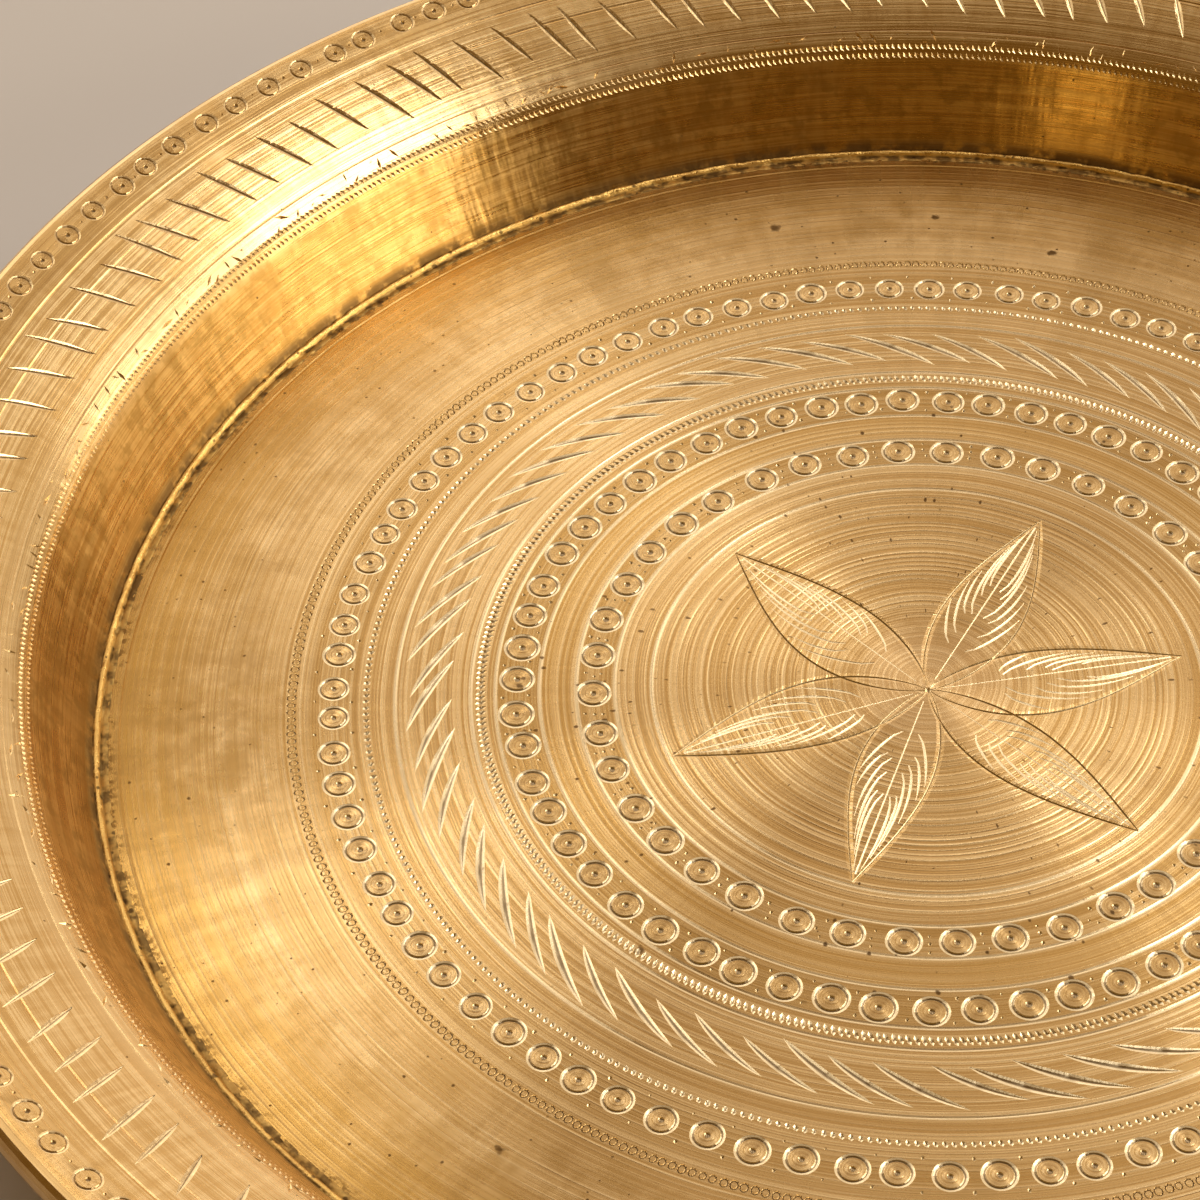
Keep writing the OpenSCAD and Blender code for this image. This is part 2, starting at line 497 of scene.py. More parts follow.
def floor_brass(look):
    """Turned brass: wavy rings, darker bands where the stamps run, specks and stains near the wall."""
    w = Finish("floor_brass")
    arm, tangent = w.spun()
    cut, dirt = w.engraving(dirt_from=0.35, dirt_full=0.8)
    band = w.bands(FLOOR_BANDS)
    outside = band["outside"]

    fine, _ = w.rings(arm, pitch=0.24, drift=0.4, wave=0.2)
    coarse, ridge = w.rings(arm, pitch=0.62, drift=0.35, wave=0.4, seed=5.0)
    broad, _ = w.rings(arm, pitch=3.0, drift=0.5, seed=9.0)
    streak = w.streaks(count=34.0, length=60)
    cloud = w.smudges(26, 0.45, 0.7)
    thumbed = w.product(band["thumbed"], w.smudges(7, 0.45, 0.62, seed=3.0))
    # Bands along the turned lines, painted lighter as a highlight line
    line_radii = [share * FLOOR_R / MM for share in LINE_SHARES[:-1]]
    lined = w.most(*[w.band(radius - LINE_HALF, radius + LINE_HALF, LINE_HALF) for radius in line_radii])
    near_wall = w.product(band["near_wall"], w.smudges(8, 0.42, 0.66, seed=6.0))
    mottle = w.most(w.smudges(4, 0.44, 0.66, seed=2.0), w.smudges(16, 0.46, 0.62, seed=12.0))
    mottle = w.product(outside, mottle)
    crust = w.product(w.smudges(1.0, 0.46, 0.58, seed=8.0), w.smudges(8, 0.40, 0.56, seed=1.0), band["crust"])

    # Ticks are drawn out along the rings
    flat, way_x, way_y = w.flattened(w.place, 28 * MM)
    drawn_out = w.combine(way_x, way_y, w.product(w.vector("LENGTH", flat), 0.4))
    ticks = w.product(w.specks(1.0, 0.35, 0.2, drawn_out), band["ticked"])
    speck = w.most(w.product(band["rubbed"], w.specks(1.7, 0.4, 0.15)), ticks, w.specks(5, 0.16, 0.04))
    away = w.vector("DISTANCE", flat, TARNISH_PLACE)
    patch = w.ramp(away, TARNISH_SIZE, 0.2 * TARNISH_SIZE)
    tarnish = w.product(patch, w.smudges(5, 0.34, 0.62, seed=21.0))
    ragged = w.product(w.less(w.noise(flat, scale=1 / (0.9 * MM)), 0.5), 1.6 * MM)
    for spot_x, spot_y, spot_size in STAINS:
        away = w.total(w.vector("DISTANCE", flat, (spot_x, spot_y, 0.0)), ragged)
        speck = w.most(speck, w.ramp(away, spot_size, 0.3 * spot_size))

    tone = w.ramp(w.blend((fine, 0.45), (coarse, 0.45), (broad, 0.10)), 0.42, 0.60)
    tone = w.total(w.product(tone, w.without(outside, 0.35)), w.product(outside, 0.25))
    tint = w.coats(
        w.mix_colour(tone, colour(look.deep), colour(look.light)),
        (mottle, 0.42, look.stain),
        # The crests of the coarse rings are painted lighter: a painted highlight along the ring crests
        (ridge, 0.30, look.cut_and_highlight),
        (cloud, 0.25, look.deep),
        (band["stamped_in"], 0.42, look.stain),
        (band["stamped_mid"], 0.56, look.stain),
        (band["stamped_out"], 0.24, look.stain),
        (band["golden"], 0.28, look.amber),
        # Painted highlight along each turned line
        (lined, 0.60, look.cut_and_highlight),
        (band["edge"], 0.62, look.amber),
        (near_wall, 0.40, look.stain),
        (tarnish, 0.60, look.stain),
        (band["heart"], 0.45, look.pale),
        (thumbed, 0.35, look.stain),
        (speck, 0.80, look.grime),
        (crust, 0.75, look.grime),
        # Slopes of the engraving: cut metal, and a painted highlight in the same lighter colour
        (cut, 0.85, look.cut_and_highlight),
        (dirt, 0.68, look.grime),
    )
    soiled = w.most(speck, w.product(crust, 0.3), w.product(dirt, 0.4))
    rough = w.total(
        w.ramp(fine, 0.3, 0.7, 0.19, 0.27), w.product(cloud, 0.05),
        w.ramp(streak, 0.35, 0.65, -0.02, 0.03), w.product(soiled, 0.25))
    depth = w.total(0.8, w.product(band["field"], 1.4))
    depth = w.product(depth, w.without(band["heart"], 0.75), w.without(outside, 0.15))
    height = w.product(w.blend((fine, 0.6), (coarse, 1.3), (ridge, 0.7)), depth)
    height = w.total(height, w.product(streak, 0.3))
    return w.done({
        "Base Color": tint, "Roughness": rough, "Metallic": 1.0, "Tangent": tangent, "Anisotropic": 0.9,
        "Normal": w.smooth_where(cut, w.bump(height, relief=0.035)),
    })


def rim_brass(look):
    """Spun brass: rings and rubbed streaks on the wall, a worn bright shoulder, a dark foot."""
    w = Finish("rim_brass")
    arm, tangent = w.spun()
    cut, dirt = w.engraving(dirt_from=0.55, dirt_full=1.0)
    band = w.bands(RIM_BANDS)
    wall = band["wall"]

    fine, _ = w.rings(arm, pitch=0.40, drift=3.0, wave=0.5, seed=3.0)
    coarse, _ = w.rings(arm, pitch=1.4, drift=2.0, wave=1.0, seed=11.0)
    narrow = w.streaks(count=70.0, length=16)
    wide = w.streaks(count=16.0, length=40, seed=6.0)
    cloud = w.smudges(14, 0.45, 0.7, seed=4.0)
    blotch = w.smudges(3.4, 0.47, 0.62, seed=7.0)
    handled = w.product(band["handled"], w.total(0.35, w.product(cloud, 0.5)))
    crust = w.product(band["crust"], w.smudges(3.0, 0.30, 0.55, seed=2.0))
    on_wall = w.product(wall, w.specks(1.7, 0.35, 0.12))
    speck = w.math("ADD", w.specks(3.2, 0.20, 0.06), on_wall, clamp=True)
    speck = w.most(speck, w.product(band["nicked"], w.specks(1.5, 0.3, 0.14)))

    tone = w.ramp(w.blend((fine, 0.50), (coarse, 0.30), (narrow, 0.20)), 0.42, 0.60)
    tint = w.mix_colour(tone, colour(look.deep), colour(look.light))
    # A warmer, deeper tone on the wall: partly its spun finish and partly painted shade, as the wall looks
    # darker than the lit floor
    warm_tone_and_shade = w.mix_colour(1.0, tint, colour(look.wall), "MULTIPLY")
    tint = w.coats(
        w.mix_colour(w.product(wall, 0.75), tint, warm_tone_and_shade),
        (cloud, w.total(0.12, w.product(wall, 0.15)), look.stain),
        (blotch, w.product(wall, 0.65), look.stain),
        (band["foot"], 0.40, look.stain),
        (band["worn"], 0.40, look.pale),
        (handled, 1.0, look.deep),
        # Painted highlight along the rounded outer edge
        (band["lip_highlight"], 0.12, look.cut_and_highlight),
        (w.most(speck, crust), 0.70, look.grime),
        # Slopes of the engraving: cut metal, and a painted highlight in the same lighter colour
        (cut, 0.42, look.cut_and_highlight),
        (dirt, 0.75, look.grime),
    )
    soiled = w.most(speck, crust, w.product(dirt, 0.5))
    rough = w.total(
        w.ramp(fine, 0.3, 0.7, 0.18, 0.28),
        w.blend((cloud, 0.08), (soiled, 0.25), (wall, 0.05), (band["lip_highlight"], -0.05)))
    height = w.blend(
        (fine, 1.2), (coarse, 2.4),
        (narrow, w.total(0.6, w.product(wall, 0.8))), (wide, w.total(2.5, w.product(wall, 1.8))))
    return w.done({
        "Base Color": tint, "Roughness": rough, "Metallic": 1.0, "Tangent": tangent, "Anisotropic": 0.8,
        "Normal": w.smooth_where(cut, w.bump(height, relief=0.03)),
    })


def braze_brass(look):
    """Brazing filler: bright where it is rubbed, dark in its pits, and darkened low on the bead and behind it
    against the wall, partly as dirt and partly as painted shade in the creases.
    """
    w = Finish("braze")
    cloud = w.smudges(6, 0.4, 0.62)
    gaps = w.smudges(3, 0.42, 0.58, seed=5.0)
    # Low on the bead where it meets the floor, and behind it: partly dirt and partly painted shade in the
    # creases
    low = w.ramp(w.separate(w.place)[2], FLOOR_TOP + 0.45 * MM, FLOOR_TOP + 0.05 * MM)
    soil_and_shade = w.product(w.most(low, w.band(*BEAD_BACK)), w.total(0.35, w.product(gaps, 0.5)))
    tint = w.coats(
        colour(look.light),
        (cloud, 0.5, look.deep),
        (soil_and_shade, 1.0, look.grime),
        (w.specks(1.6, 0.6, 0.3), 0.8, look.grime),
    )
    grain = w.noise(w.place, scale=1 / (0.5 * MM), detail=4.0, roughness=0.6)
    rough = w.total(w.ramp(grain, 0.3, 0.7, 0.25, 0.45), w.product(low, 0.2))
    normal = w.bump(grain, relief=0.12)
    return w.done({"Base Color": tint, "Roughness": rough, "Metallic": 1.0, "Normal": normal})


def drawn_wire(look):
    """Plain drawn wire with lines along its length."""
    w = Finish("drawn_wire")
    lines, _ = w.rings(w.place, pitch=0.3, drift=1.0)
    tint = w.mix_colour(w.ramp(lines, 0.35, 0.65), colour(look.wire_dark), colour(look.wire_light))
    rough = w.ramp(lines, 0.3, 0.7, 0.35, 0.5)
    normal = w.bump(lines, relief=0.03)
    return w.done({"Base Color": tint, "Roughness": rough, "Metallic": 1.0, "Normal": normal})


def stage_floor(look):
    """The plain pale floor."""
    return Finish("stage_floor").done({"Base Color": colour(look.floor_colour), "Roughness": 0.8})


# Turned shapes

def sheet_place(run_name, share, offset=SHEET_T / 2):
    """A place on the bent sheet: (radius, height, slope), a distance to the inside of its middle."""
    radius, height = FOOT_START
    slope = 0.0
    for name, (size, turn_degrees) in SHEET_RUNS.items():
        part = share if name == run_name else 1.0
        turn = math.radians(turn_degrees)
        if turn == 0.0:
            radius += part * size * math.cos(slope)
            height += part * size * math.sin(slope)
        else:
            side = math.copysign(1.0, turn)
            new_slope = slope + part * turn
            radius += side * size * (math.sin(new_slope) - math.sin(slope))
            height -= side * size * (math.cos(new_slope) - math.cos(slope))
            slope = new_slope
        if name == run_name:
            break
    return radius - offset * math.sin(slope), height + offset * math.cos(slope), slope


def sheet_outline(line_width, line_depth):
    """The closed outline of the bent sheet, from the foot's underside round to its top."""
    stations = [("foot", 0.0)]
    for name, steps in RUN_STEPS.items():
        stations += [(name, i / steps) for i in range(1, steps + 1)]
    outer = [sheet_place(name, share, -SHEET_T / 2)[:2] for name, share in stations]
    rim_length = RIM[0] * math.radians(abs(RIM[1]))
    face = [(name, share, SHEET_T / 2) for name, share in stations]
    for share in RIM_LINE_SHARES:
        for step, depth in ((-0.5, 0.0), (0.0, line_depth), (0.5, 0.0)):
            face.append(("rim", share + step * line_width / rim_length, SHEET_T / 2 - depth))
    order = list(SHEET_RUNS)
    face.sort(key=lambda item: (order.index(item[0]), item[1]), reverse=True)
    return outer + [sheet_place(name, share, offset)[:2] for name, share, offset in face]


def floor_outline(line_width, line_depth):
    """The floor disc's outline from the axis under it, over its V-shaped lines, to the axis on top."""
    outline = [(0.0, FLOOR_UNDER), (FLOOR_R, FLOOR_UNDER), (FLOOR_R, FLOOR_TOP)]
    for share in reversed(LINE_SHARES):
        radius = share * FLOOR_R
        outline.append((radius + line_width / 2, FLOOR_TOP))
        outline.append((radius, FLOOR_TOP - line_depth))
        outline.append((radius - line_width / 2, FLOOR_TOP))
    return outline + [(0.0, FLOOR_TOP)]


def skinned_mesh(name, rings, sides, closed=False):
    """A mesh over rings of points, where a ring may be a single point. A closed one joins its ends."""
    bm = bmesh.new()
    rings = [[bm.verts.new(point) for point in ring] for ring in rings]
    pairs = list(zip(rings, rings[1:]))
    if closed:
        pairs.append((rings[-1], rings[0]))
    for low, high in pairs:
        for i in range(sides):
            j = (i + 1) % sides
            corners = [low[i % len(low)], low[j % len(low)], high[j % len(high)], high[i % len(high)]]
            bm.faces.new(list(dict.fromkeys(corners)))
    bmesh.ops.recalc_face_normals(bm, faces=bm.faces)
    mesh = bpy.data.meshes.new(name)
    bm.to_mesh(mesh)
    bm.free()
    return mesh


def turned_mesh(name, outline, sides, closed=False, stretch=(1.0, 1.0)):
    """Turns an outline of (radius, height) points about the Z axis. A closed outline makes a ring."""
    rings = []
    for radius, height in outline:
        angles = [FULL_TURN * i / sides for i in range(sides if radius else 1)]
        rings.append([
            (radius * math.cos(angle) * stretch[0], radius * math.sin(angle) * stretch[1], height)
            for angle in angles
        ])
    return skinned_mesh(name, rings, sides, closed)


def shown_object(data):
    """An object of the same name as its data, in the scene."""
    piece = bpy.data.objects.new(data.name, data)
    bpy.context.scene.collection.objects.link(piece)
    return piece


# Cutters of the engraver's tools

def cutter(mesh, levels=None):
    """A cutter that notes on its corners how far they go below the surface, as a share of a full depth."""
    levels = levels or [vertex.co.z for vertex in mesh.vertices]
    sunk = mesh.attributes.new(SUNK, "FLOAT", "POINT")
    for item, level in zip(sunk.data, levels):
        item.value = min(1.0, max(0.0, -level / FULL_DEPTH))
    return shown_object(mesh)


def stamp_cutter(name, diameter, depth, sides):
    """The ring-and-dot punch: a ring groove round a barely sunk disc, with a deep dot at its centre."""
    shares = (
        (0.0, -1.5), (0.11, -1.4), (0.21, -0.02), (0.77, -0.02), (0.86, -1.0), (0.95, -0.35), (1.08, 0.0),
        (1.30, 0.5), (0.0, 0.5),
    )
    outline = [(across * diameter / 2, up * depth) for across, up in shares]
    return cutter(turned_mesh(name, outline, sides))


def ring_cutter(name, length, width, depth, sides):
    """A small oval ring with a V-shaped section."""
    outline = [(0.30, depth), (0.68, -depth), (1.06, depth)]
    return cutter(turned_mesh(name, outline, sides, closed=True, stretch=(length / 2, width / 2)))


def pit_cutter(name, length, width, depth, sides=6, slant=0):
    """A pointed pit, long across the line that it belongs to, or at a slant to it in degrees."""
    outline = [(0.0, -depth), (1.0, 0.0), (1.4, 0.4 * depth), (0.0, 0.4 * depth)]
    mesh = turned_mesh(name, outline, sides, stretch=(length / 2, width / 2))
    mesh.transform(Matrix.Rotation(math.radians(slant), 4, "Z"))
    return cutter(mesh)


def stroke_cutter(name, length, width, depth, slant, fullest, bow=0.0, sag_radius=None, stations=9):
    """A graver's stroke that swells between its points and follows the surface. Its section is a V with
    shallow shoulders."""
    turn = Matrix.Rotation(math.radians(slant), 4, "Z")
    rings, levels = [], []
    for i in range(stations + 1):
        share = i / stations
        swell = math.sin(math.pi * share ** (math.log(0.5) / math.log(fullest))) ** 0.65
        x = (share - 0.5) * length
        side = bow * 4 * share * (1 - share)
        sag = -x * x / (2 * sag_radius) if sag_radius else 0.0
        half, deep = swell * width / 2, swell * depth
        section = [
            (-half, 0.0), (-0.4 * half, -0.45 * deep), (0.0, -deep), (0.4 * half, -0.45 * deep),
            (half, 0.0), (0.0, 0.5 * deep),
        ]
        if i in (0, stations):
            section = [(0.0, 0.0)]
        rings.append([turn @ Vector((x, side + y, sag + z)) for y, z in section])
        levels += [z for _, z in section]
    return cutter(skinned_mesh(name, rings, sides=6), levels)


# Geometry Nodes trees

def close_tree(w, entry, out, geometry):
    """Ends a tree with plain geometry in the piece's material."""
    whole = w.node("GeometryNodeRealizeInstances", {"Geometry": geometry})
    feeds = {"Geometry": whole.outputs[0], "Material": entry["Material"]}
    w.feed(out["Geometry"], w.node("GeometryNodeSetMaterial", feeds).outputs[0])


def cut_away(w, entry, out, tools):
    """Cuts the tools out of the piece and ends the tree."""
    feeds = {"Mesh 1": entry["Geometry"], "Mesh 2": tools}
    cut = w.node("GeometryNodeMeshBoolean", feeds, operation="DIFFERENCE", solver="MANIFOLD")
    close_tree(w, entry, out, cut.outputs["Mesh"])


def engraved_row_tree():
    """Cuts a row of equal marks round the plate: one modifier for each row."""
    tree, w, entry, out = new_tree("engraved_row", {
        "Cutter": OBJECT, "Count": 40, "Radius": 50 * MM, "Height": 0.0, "Tilt": 0.0, "Start": 0.0,
        "Angle Wander": 0.0, "Radius Wander": 0.0, "Turn Wander": 0.0, "Size Wander": 0.0, "Seed": 0,
    })

    def stray(name, step):
        wander = entry[name]
        return w.random(w.product(wander, -1.0), wander, w.total(entry["Seed"], step))

    index = w.node("GeometryNodeInputIndex").outputs[0]
    steps = w.total(index, stray("Angle Wander", 0))
    angle = w.total(w.product(steps, w.over(FULL_TURN, entry["Count"])), entry["Start"])
    aside = stray("Radius Wander", 1)
    radius = w.total(entry["Radius"], aside)
    position = w.combine(
        w.product(radius, w.math("COSINE", angle)),
        w.product(radius, w.math("SINE", angle)),
        w.total(entry["Height"], w.product(aside, w.math("TANGENT", entry["Tilt"]))),
    )
    points = w.node("GeometryNodePoints", {"Count": entry["Count"], "Position": position})
    size = w.total(1.0, stray("Size Wander", 2))
    tool = w.node("GeometryNodeObjectInfo", {"Object": entry["Cutter"]})
    marks = w.node("GeometryNodeInstanceOnPoints", {
        "Points": points.outputs[0],
        "Instance": tool.outputs["Geometry"],
        "Rotation": w.rotation(0.0, w.product(entry["Tilt"], -1.0), angle),
        "Scale": w.combine(size, size, size),
    })
    turned = w.node("GeometryNodeRotateInstances", {
        "Instances": marks.outputs[0],
        "Rotation": w.rotation(0.0, 0.0, stray("Turn Wander", 3)),
        "Local Space": True,
    })
    centre = w.node("GeometryNodeInputPosition").outputs[0]
    noted = w.store(turned.outputs[0], SPIN_CENTRE, centre, "FLOAT_VECTOR", "INSTANCE")
    tools = w.node("GeometryNodeRealizeInstances", {"Geometry": noted}).outputs[0]
    kept = w.node("GeometryNodeInputNamedAttribute", {"Name": SPIN_CENTRE}, data_type="FLOAT_VECTOR")
    tools = w.store(tools, SPIN_CENTRE, kept.outputs["Attribute"], "FLOAT_VECTOR", "FACE")
    cut_away(w, entry, out, tools)
    return tree


def engraved_lines_tree():
    """Cuts V-shaped lines along curves that lie in the surface."""
    tree, w, entry, out = new_tree("engraved_lines", {
        "Lines": OBJECT, "Width": 0.5 * MM, "Depth": 0.2 * MM, "Level": 0.0, "Full Depth": FULL_DEPTH,
    })
    lines = w.node("GeometryNodeObjectInfo", {"Object": entry["Lines"]})
    upright = w.node("GeometryNodeSetCurveNormal", {"Curve": lines.outputs["Geometry"]}, mode="Z_UP")
    circle = w.node("GeometryNodeCurvePrimitiveCircle", {"Resolution": 4, "Radius": 1.0})
    size = w.combine(w.product(entry["Width"], 0.5), entry["Depth"], 1.0)
    section = w.node("GeometryNodeTransform", {"Geometry": circle.outputs[0], "Scale": size})
    swept = w.node("GeometryNodeCurveToMesh", {
        "Curve": upright.outputs[0],
        "Profile Curve": section.outputs[0],
        "Scale": w.node("GeometryNodeInputRadius").outputs[0],
        "Fill Caps": True,
    })
    height = w.separate(w.node("GeometryNodeInputPosition").outputs[0])[2]
    share = w.math("DIVIDE", w.less(entry["Level"], height), entry["Full Depth"], clamp=True)
    noted = w.store(swept.outputs[0], SUNK, share, "FLOAT", "POINT")
    island = w.node("GeometryNodeInputMeshIsland").outputs["Island Index"]
    apart = w.node("GeometryNodeSplitToInstances", {"Geometry": noted, "Group ID": island}, domain="FACE")
    cut_away(w, entry, out, apart.outputs["Instances"])
    return tree


def rough_bead_tree():
    """Makes a smooth ring of filler uneven: lumps along it and small pits in it."""
    tree, w, entry, out = new_tree("rough_bead", {
        "Lump Height": 0.15 * MM, "Lump Length": 3 * MM, "Pit Depth": 0.12 * MM, "Pit Spacing": 1.5 * MM,
        "Seed": 0,
    })
    place = w.node("GeometryNodeInputPosition").outputs[0]
    moved = w.vector("ADD", place, w.combine(entry["Seed"], 0.0, 0.0))
    lump = w.noise(w.vector("SCALE", moved, scale=w.over(1.0, entry["Lump Length"])), detail=3.0)
    pit = w.noise(w.vector("SCALE", moved, scale=w.over(1.0, entry["Pit Spacing"])), detail=1.0)
    swell = w.product(w.less(lump, 0.5), w.product(entry["Lump Height"], 2.0))
    hole = w.product(w.ramp(pit, 0.42, 0.3), entry["Pit Depth"])
    normal = w.node("GeometryNodeInputNormal").outputs[0]
    offset = w.vector("SCALE", normal, scale=w.less(swell, hole))
    shaped = w.node("GeometryNodeSetPosition", {"Geometry": entry["Geometry"], "Offset": offset})
    close_tree(w, entry, out, shaped.outputs[0])
    return tree


TREES = {
    "engraved_row": engraved_row_tree,
    "engraved_lines": engraved_lines_tree,
    "rough_bead": rough_bead_tree,
}


def add_tree(piece, tree_name, label, values):
    """Adds one tree to a piece as a modifier and sets its inputs by their identifiers."""
    tree = bpy.data.node_groups.get(tree_name) or TREES[tree_name]()
    modifier = piece.modifiers.new(label, "NODES")
    modifier.node_group = tree
    keys = {item.name: item.identifier for item in tree.interface.items_tree if item.in_out == "INPUT"}
    for name, value in values.items():
        modifier[keys[name]] = value


def engrave(piece, brass, label, tool, count, place, seed, start=0.0, angle=0.0, aside=0.0, turn=0, size=0.0):
    """Cuts a row of marks round a piece at a place (radius, height, slope), from a share of a pitch on."""
    radius, height, slope = place
    add_tree(piece, "engraved_row", label, {
        "Cutter": tool, "Material": brass, "Count": count, "Radius": radius, "Height": height, "Tilt": slope,
        "Start": start * FULL_TURN / count, "Angle Wander": angle, "Radius Wander": aside,
        "Turn Wander": math.radians(turn), "Size Wander": size, "Seed": seed,
    })


def sharpen_engraving(mesh):
    """Gives every edge of the engraving a crisp fold, however shallow its slope is."""
    least_sunk, least_fold = 0.01, math.radians(5)
    bm = bmesh.new()
    bm.from_mesh(mesh)
    sunk = bm.verts.layers.float.get(SUNK)
    if sunk:
        engraved = [max(vertex[sunk] for vertex in face.verts) > least_sunk for face in bm.faces]
        bm.faces.index_update()
        for edge in bm.edges:
            cuts = [engraved[face.index] for face in edge.link_faces]
            if any(cuts) and (not all(cuts) or edge.calc_face_angle(0.0) > least_fold):
                edge.smooth = False
        bm.to_mesh(mesh)
    bm.free()


def settle(piece, sharp_degrees, tools=()):
    """Turns the piece with its modifiers into a plain mesh with crisp edges, and removes its tools."""
    graph = bpy.context.evaluated_depsgraph_get()
    mesh = bpy.data.meshes.new_from_object(piece.evaluated_get(graph))
    if not mesh.polygons:
        raise RuntimeError(f"{piece.name} came out empty")
    before = piece.data
    piece.modifiers.clear()
    piece.data = mesh
    bpy.data.meshes.remove(before)
    mesh.name = piece.name
    mesh.shade_smooth()
    mesh.set_sharp_from_angle(angle=math.radians(sharp_degrees))
    sharpen_engraving(mesh)
    for tool in tools:
        data = tool.data
        bpy.data.objects.remove(tool)
        (bpy.data.meshes if isinstance(data, bpy.types.Mesh) else bpy.data.curves).remove(data)


def hand_over(piece, node):
    """Hides a piece's solid and hangs the finished piece in its place under the root body."""
    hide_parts(node)
    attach(piece, "root")


# The flower

def petal_edge(length, bow, share):
    """How far a petal's edge stands off its midrib at a share of its length."""
    return bow * length * math.sin(math.pi * share ** 0.8)


def petal_point(angle, along, aside):
    """A place on the floor, along a petal's midrib and aside from it."""
    way = math.radians(angle)
    x = FLOWER_CENTRE[0] + along * math.cos(way) - aside * math.sin(way)
    y = FLOWER_CENTRE[1] + along * math.sin(way) + aside * math.cos(way)
    return (x, y, FLOOR_TOP)


def curve_object(name, lines):
    """A curve object of plain open lines, each a list of (point, radius)."""
    data = bpy.data.curves.new(name, "CURVE")
    data.dimensions = "3D"
    for line in lines:
        spline = data.splines.new("POLY")
        spline.points.add(len(line) - 1)
        for target, (point, radius) in zip(spline.points, line):
            target.co = (*point, 1.0)
            target.radius = radius
    return shown_object(data)


def petal_outlines():
    """Both edges of every petal, from the flower's centre to the petal's point."""
    lines = []
    for length, angle, left, right in PETALS:
        for bow in (left, -right):
            line = []
            for i in range(OUTLINE_STEPS + 1):
                share = i / OUTLINE_STEPS
                taper = 0.35 + 0.65 * min(1.0, 5 * share, 8 * (1 - share) + 0.2)
                line.append((petal_point(angle, share * length, petal_edge(length, bow, share)), taper))
            lines.append(line)
    return lines


def petal_veins():
    """The midrib of every petal, and the light scratches that sweep from it to the petal's edge and point."""
    lines = []
    for petal, (length, angle, left, right) in enumerate(PETALS):
        rib = [(0.06 + 0.90 * i / RIB_STEPS) for i in range(RIB_STEPS + 1)]
        lines.append([(petal_point(angle, share * length, 0.0), 0.35 + 0.4 * share) for share in rib])
        for side, bow in ((1, left), (-1, right)):
            for k in range(VEINS_A_SIDE):
                stray = math.sin(2.4 * k + 1.7 * petal + 2.9 * side)
                start = 0.26 + 0.065 * k + 0.03 * stray
                end = min(0.96, 0.46 + 0.11 * k - 0.03 * stray)
                near, far = 0.32 - 0.03 * k + 0.08 * stray, 0.92 - 0.07 * k
                line = []
                for i in range(VEIN_STEPS + 1):
                    part = i / VEIN_STEPS
                    share = start + (end - start) * part
                    aside = side * petal_edge(length, bow, share) * (near + (far - near) * part ** 0.6)
                    taper = 0.3 + 0.7 * math.sin(math.pi * min(1.0, part + 0.1))
                    line.append((petal_point(angle, share * length, aside), taper))
                lines.append(line)
    return lines


# Settings

def measure(name, description, size):
    """A setting for a length, given in mm."""
    return bpy.props.FloatProperty(name=name, description=description, default=size * MM, unit="LENGTH")


def paint(name, description, rgb):
    """A setting for a colour."""
    return bpy.props.FloatVectorProperty(name=name, description=description, default=rgb, subtype="COLOR")


class ThaliFloorSettings(bpy.types.PropertyGroup):
    """Sizes and colours of the floor disc."""

    line_width: measure("Turned line width", "Width of a turned line", 0.6)
    line_depth: measure("Turned line depth", "Depth of a turned line", 0.07)
    stamp_diameter: measure("Stamp diameter", "Outer diameter of a ring-and-dot stamp", 4.85)
    stamp_depth: measure("Stamp depth", "Depth of a stamp's ring groove", 0.17)
    petal_width: measure("Petal line width", "Width of a petal's outline", 0.5)
    vein_width: measure("Vein width", "Width of a scratch inside a petal", 0.44)
    light: paint("Light brass", "Brass on the ridges of the turned rings", (0.84, 0.59, 0.29))
    deep: paint("Deep brass", "Brass in the turned rings and under light tarnish", (0.58, 0.35, 0.125))
    stain: paint("Stain", "Brass under the tarnish of the stamped bands", (0.46, 0.26, 0.07))
    pale: paint("Pale brass", "Rubbed brass at the centre", (0.74, 0.50, 0.26))
    # Cut metal on the engraving's slopes, and a painted highlight there, on the ring crests and along the
    # turned lines
    cut_and_highlight: paint("Cut brass", "Brass on the slopes of the engraving", (0.98, 0.82, 0.54))
    amber: paint("Amber", "Mellow metal beside the wall and in the golden band", (0.58, 0.32, 0.06))
    grime: paint("Grime", "Dirt in pits and specks", (0.14, 0.065, 0.017))


class ThaliRimSettings(bpy.types.PropertyGroup):
    """Sizes and colours of the wall and the rim."""

    line_width: measure("Turned line width", "Width of a turned line", 0.5)
    line_depth: measure("Turned line depth", "Depth of a turned line", 0.09)
    stamp_diameter: measure("Stamp diameter", "Outer diameter of a stamp on the rim", 3.8)
    stamp_depth: measure("Stamp depth", "Depth of a stamp's ring groove", 0.16)
    stamp_count: bpy.props.IntProperty(
        name="Stamps", description="Stamps round the rim", default=143, min=3)
    stroke_count: bpy.props.IntProperty(
        name="Strokes", description="Engraved strokes round the rim", default=138, min=3)
    stroke_width: measure("Stroke width", "Width of a stroke at its fullest", 1.2)
    light: paint("Light brass", "Polished brass", (0.86, 0.61, 0.30))
    deep: paint("Deep brass", "Brass under light tarnish", (0.62, 0.38, 0.14))
    # Partly the spun wall's own tone and partly painted shade laid over the wall
    wall: paint("Wall tone", "Warm tone laid over the brass of the wall", (0.85, 0.73, 0.43))
    stain: paint("Stain", "Tarnished brass at the foot", (0.42, 0.24, 0.06))
    pale: paint("Worn brass", "Brass worn bright at the shoulder", (0.86, 0.62, 0.32))
    # Cut metal on the engraving's slopes, and a painted highlight there and along the rounded outer edge
    cut_and_highlight: paint("Cut brass", "Brass on the slopes of the engraving", (0.96, 0.76, 0.46))
    grime: paint("Grime", "Dirt in pits and specks", (0.10, 0.05, 0.018))


